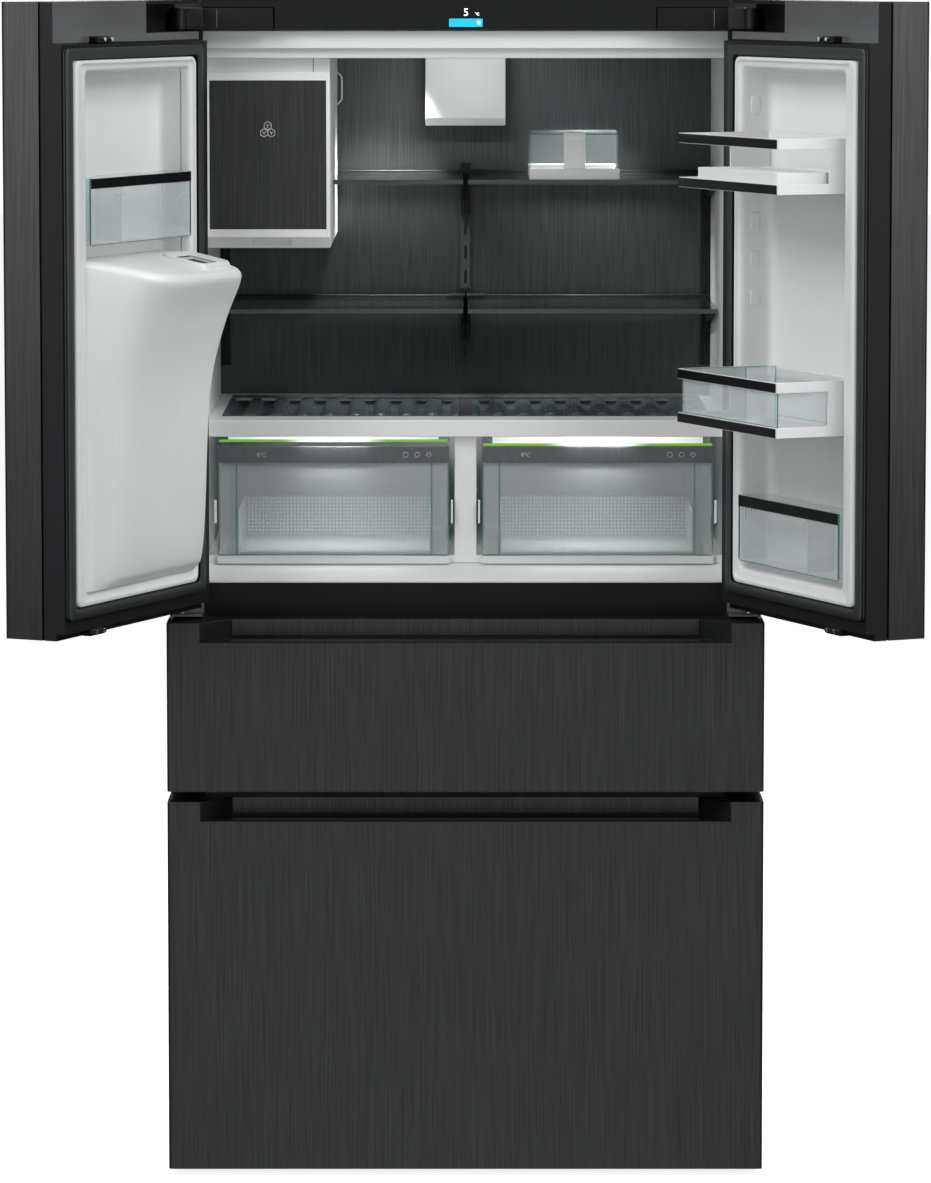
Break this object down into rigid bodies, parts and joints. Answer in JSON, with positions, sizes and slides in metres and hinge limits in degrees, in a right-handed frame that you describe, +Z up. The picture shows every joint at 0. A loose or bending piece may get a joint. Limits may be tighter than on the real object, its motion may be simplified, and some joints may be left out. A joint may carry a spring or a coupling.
{
  "type": "french door refrigerator",
  "caption": "Free-standing refrigerator with side-by-side fresh-food doors over stacked freezer drawers, brushed dark steel, with inside drawers, shelves and a door dispenser.",
  "frame": {"origin": "on the floor, under the centre of the box round the refrigerator with both doors open 115 degrees", "axes": "+X to the right seen from the front, +Y towards the back, +Z up"},
  "size_m": [1.3442, 1.0866, 1.8],
  "materials": {
    "brushed_dark_steel": "satin",
    "case_paint": "satin",
    "rear_steel": "satin",
    "frame_plastic": "satin",
    "gasket_rubber": "matte",
    "white_plastic": "satin",
    "black_plastic": "satin",
    "control_glass": "gloss",
    "clear_plastic": "gloss",
    "shelf_glass": "gloss",
    "bar_metal": "satin",
    "foam": "matte",
    "black_rubber": "matte",
    "zinc_steel": "satin",
    "black_enamel": "satin"
  },
  "bodies": {
    "cabinet": {"cabinet_shell": "case_paint", "rear_panel": "rear_steel", "insulation": "foam", "fridge_liner": "white_plastic", "freezer_liner": "white_plastic", "back_panel": "brushed_dark_steel", "crossbar": "black_plastic", "control_panel": "control_glass", "left_top_hinge": "black_plastic", "right_top_hinge": "black_plastic", "left_lower_hinge": "zinc_steel", "right_lower_hinge": "zinc_steel", "left_shelf_rail": "case_paint", "centre_shelf_rail": "case_paint", "right_shelf_rail": "case_paint", "duct_cover": "white_plastic", "upper_left_shelf": "shelf_glass", "upper_right_shelf": "shelf_glass", "lower_left_shelf": "shelf_glass", "lower_right_shelf": "shelf_glass", "ice_maker_housing": "white_plastic", "chill_cover": "white_plastic", "bottle_rack": "white_plastic", "compressor": "black_enamel", "butter_dish": "white_plastic", "left_front_foot": "black_rubber", "right_front_foot": "black_rubber", "upper_drawer_slides": "zinc_steel", "lower_drawer_slides": "zinc_steel"},
    "butter_lid": {"butter_lid": "clear_plastic"},
    "left_roller": {"left_roller": "black_rubber"},
    "right_roller": {"right_roller": "black_rubber"},
    "ice_drawer": {"ice_bin": "brushed_dark_steel"},
    "left_chill_drawer": {"left_chill_bin": "clear_plastic", "left_chill_front": "bar_metal"},
    "right_chill_drawer": {"right_chill_bin": "clear_plastic", "right_chill_front": "bar_metal"},
    "left_door": {"left_door_skin": "brushed_dark_steel", "left_door_frame": "frame_plastic", "left_door_gasket": "gasket_rubber", "left_door_liner": "white_plastic", "left_door_bin": "clear_plastic", "ice_chute": "white_plastic", "dispenser_recess": "control_glass", "drip_tray": "zinc_steel"},
    "dispenser_paddle": {"dispenser_paddle": "black_plastic"},
    "right_door": {"right_door_skin": "brushed_dark_steel", "right_door_frame": "frame_plastic", "right_door_gasket": "gasket_rubber", "right_door_liner": "white_plastic", "right_door_upper_rack": "white_plastic", "right_door_lower_rack": "clear_plastic", "right_door_bin": "clear_plastic", "egg_tray": "white_plastic"},
    "upper_freezer_drawer": {"upper_drawer_skin": "brushed_dark_steel", "upper_drawer_core": "frame_plastic", "upper_drawer_tub": "white_plastic"},
    "lower_freezer_drawer": {"lower_drawer_skin": "brushed_dark_steel", "lower_drawer_core": "frame_plastic", "lower_drawer_tub": "white_plastic"}
  },
  "joints": [
    {"name": "left_door_hinge", "type": "hinge", "parent": "cabinet", "child": "left_door", "pos_m": [-0.435, -0.13467, 1.335], "axis": [0, 0, -1], "range_deg": [-115, 0]},
    {"name": "right_door_hinge", "type": "hinge", "parent": "cabinet", "child": "right_door", "pos_m": [0.435, -0.13467, 1.335], "axis": [0, 0, 1], "range_deg": [-115, 0]},
    {"name": "upper_freezer_slide", "type": "slide", "parent": "cabinet", "child": "upper_freezer_drawer", "axis": [0, -1, 0], "range_m": [0, 0.42]},
    {"name": "lower_freezer_slide", "type": "slide", "parent": "cabinet", "child": "lower_freezer_drawer", "axis": [0, -1, 0], "range_m": [0, 0.35]},
    {"name": "ice_drawer_slide", "type": "slide", "parent": "cabinet", "child": "ice_drawer", "axis": [0, -1, 0], "range_m": [0, 0.35]},
    {"name": "left_chill_slide", "type": "slide", "parent": "cabinet", "child": "left_chill_drawer", "axis": [0, -1, 0], "range_m": [0, 0.3]},
    {"name": "right_chill_slide", "type": "slide", "parent": "cabinet", "child": "right_chill_drawer", "axis": [0, -1, 0], "range_m": [0, 0.3]},
    {"name": "butter_lid_hinge", "type": "hinge", "parent": "cabinet", "child": "butter_lid", "pos_m": [0.1705, 0.28234, 1.5348], "axis": [-1, 0, 0], "range_deg": [0, 40]},
    {"name": "dispenser_paddle_pivot", "type": "hinge", "parent": "left_door", "child": "dispenser_paddle", "pos_m": [-0.51257, -0.32469, 1.284], "axis": [-0.4226, -0.9063, 0], "range_deg": [0, 8], "stiffness_Nm_per_rad": 0.5},
    {"name": "left_roller_axle", "type": "hinge", "parent": "cabinet", "child": "left_roller", "pos_m": [-0.405, 0.50333, 0.02], "axis": [1, 0, 0], "continuous": true},
    {"name": "right_roller_axle", "type": "hinge", "parent": "cabinet", "child": "right_roller", "pos_m": [0.405, 0.50333, 0.02], "axis": [1, 0, 0], "continuous": true}
  ]
}
